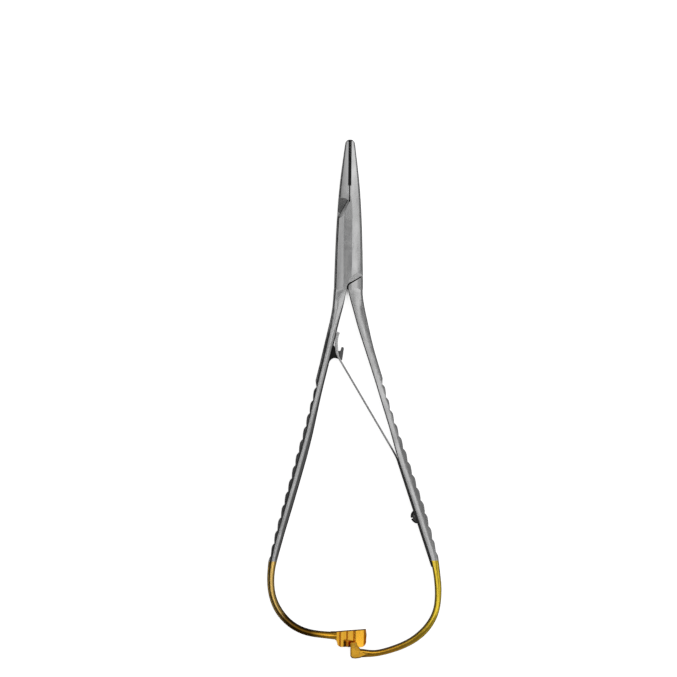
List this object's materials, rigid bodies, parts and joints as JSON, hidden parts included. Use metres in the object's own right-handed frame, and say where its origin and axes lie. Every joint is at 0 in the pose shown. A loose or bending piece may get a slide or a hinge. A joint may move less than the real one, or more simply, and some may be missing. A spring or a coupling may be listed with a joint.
{
  "type": "surgical needle holder",
  "caption": "Spring-handled needle holder with a box lock, knurled hard-metal jaw inserts, scalloped shanks, an end ratchet and a leaf spring that opens it.",
  "frame": {"origin": "the pivot axis at the underside of the box lock, where the instrument rests when it lies flat", "axes": "+Y from the pivot to the jaw tips, +Z out of the front face, +X to the right seen from the front"},
  "size_m": [0.0572, 0.1699, 0.0052],
  "materials": {
    "satin_steel": "satin, bows gold plated",
    "hard_metal": "dark, knurled working faces",
    "spring_steel": "smooth",
    "screw_steel": "polished"
  },
  "bodies": {
    "box_side": {"box_half": "satin_steel", "box_jaw_insert": "hard_metal", "pivot_pin": "satin_steel"},
    "tongue_side": {"tongue_half": "satin_steel", "tongue_jaw_insert": "hard_metal", "leaf_spring": "spring_steel", "spring_screw": "screw_steel"}
  },
  "joints": [
    {"name": "jaw_hinge", "type": "hinge", "parent": "box_side", "child": "tongue_side", "pos_m": [0, 0, 0], "axis": [0, 0, 1], "range_deg": [0, 16], "stiffness_Nm_per_rad": 0.8, "springref_deg": 23.49, "deforming": ["leaf_spring"]}
  ]
}
